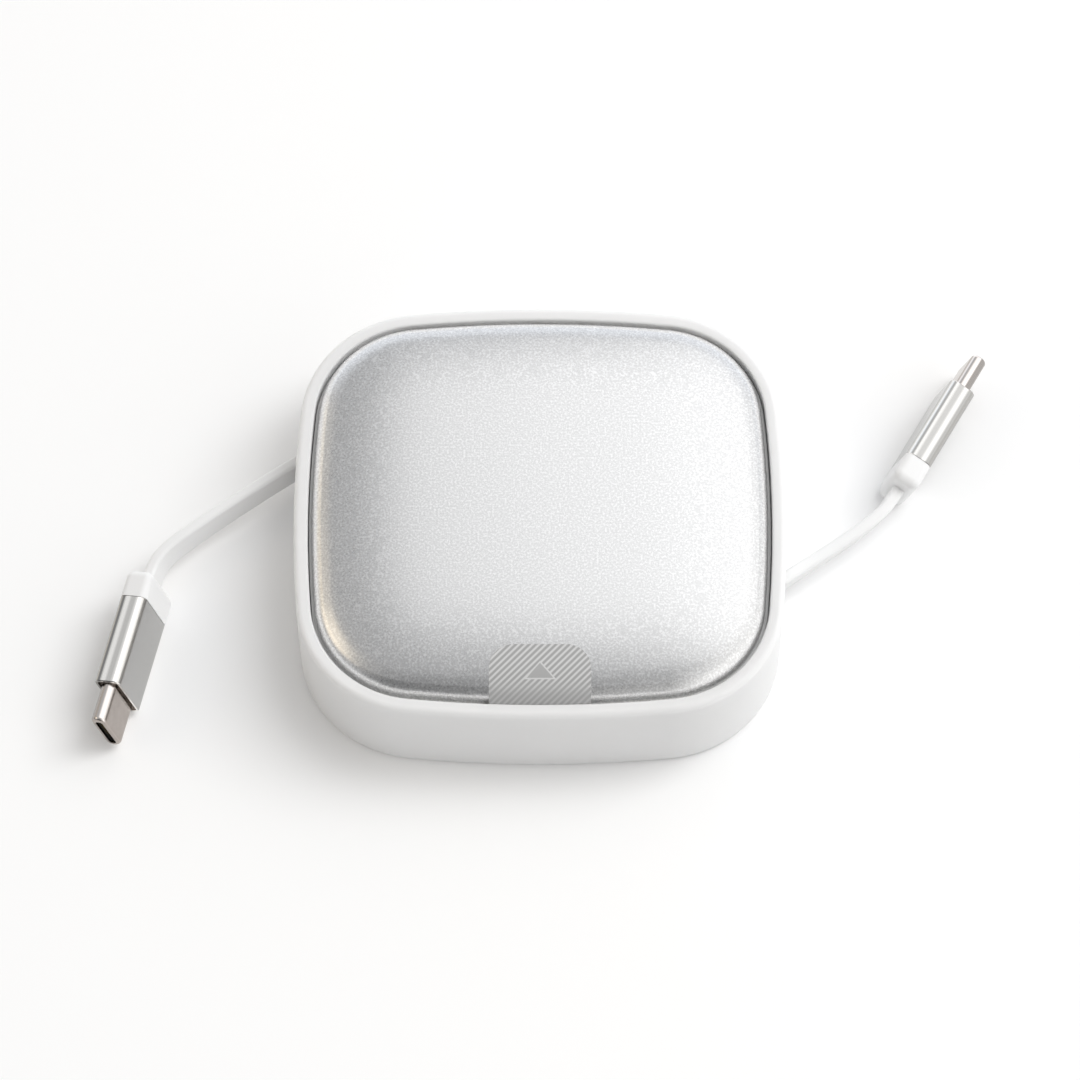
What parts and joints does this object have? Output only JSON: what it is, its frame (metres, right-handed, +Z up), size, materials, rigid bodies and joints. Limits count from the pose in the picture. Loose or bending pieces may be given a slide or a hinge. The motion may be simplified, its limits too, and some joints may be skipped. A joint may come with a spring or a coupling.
{
  "type": "retractable charging cable",
  "caption": "Low rounded-square case with a domed metal cover; a sprung reel inside pays out a flat cable from both sides, with a small plug on each end.",
  "frame": {"origin": "centre of the case's flat underside, on the reel's axis", "axes": "+Z up out of the cover, +X to the right along the case's longer side, +Y away from the side with the printed tab"},
  "size_m": [0.1319, 0.067, 0.02],
  "materials": {
    "case_white": "satin moulded",
    "cover_aluminium": "fine blasted and anodised",
    "printed_film": "striped grey print on clear film",
    "cable_white": "smooth",
    "collar_white": "satin moulded",
    "sleeve_aluminium": "polished",
    "shell_nickel": "nickel plated",
    "core_grey": "moulded",
    "insert_black": "moulded",
    "contact_gold": "gold plated",
    "board_green": "lacquered",
    "reel_white": "moulded",
    "steel": "bright",
    "adhesive": "foam tape"
  },
  "bodies": {
    "case": {"case_tub": "case_white", "inner_lid": "reel_white", "lid_screws": "steel", "centre_screw": "steel", "latch_ball": "steel", "cover_adhesive": "adhesive", "cover_plate": "cover_aluminium", "pull_tab": "printed_film"},
    "reel": {"reel_spool": "reel_white", "reel_flange": "reel_white", "reel_cap": "reel_white", "mainspring": "steel", "cable_winding": "cable_white"},
    "plug_a": {"cable_lead_a": "cable_white", "plug_a_sleeve": "sleeve_aluminium", "plug_a_collar": "collar_white", "plug_a_core": "core_grey", "plug_a_shell": "shell_nickel", "plug_a_insert": "insert_black", "plug_a_contacts": "contact_gold", "plug_a_board": "board_green"},
    "plug_b": {"cable_lead_b": "cable_white", "plug_b_sleeve": "sleeve_aluminium", "plug_b_collar": "collar_white", "plug_b_core": "core_grey", "plug_b_shell": "shell_nickel", "plug_b_insert": "insert_black", "plug_b_contacts": "contact_gold", "plug_b_board": "board_green"}
  },
  "joints": [
    {"name": "reel_spin", "type": "hinge", "parent": "case", "child": "reel", "pos_m": [0, 0, 0], "axis": [0, 0, 1], "range_deg": [-44.5, 1591.5], "deforming": ["mainspring"]},
    {"name": "plug_a_pull", "type": "slide", "parent": "case", "child": "plug_a", "axis": [-0.811, -0.585, 0], "range_m": [-0.014, 0.5], "deforming": ["cable_lead_a"]},
    {"name": "plug_b_pull", "type": "slide", "parent": "case", "child": "plug_b", "axis": [0.8142, 0.5805, 0], "range_m": [-0.014, 0.5], "deforming": ["cable_lead_b"]}
  ],
  "couplings": [
    {"joint": "plug_a_pull", "follows": "reel_spin", "m_per_rad": 0.018},
    {"joint": "plug_b_pull", "follows": "reel_spin", "m_per_rad": 0.018}
  ]
}
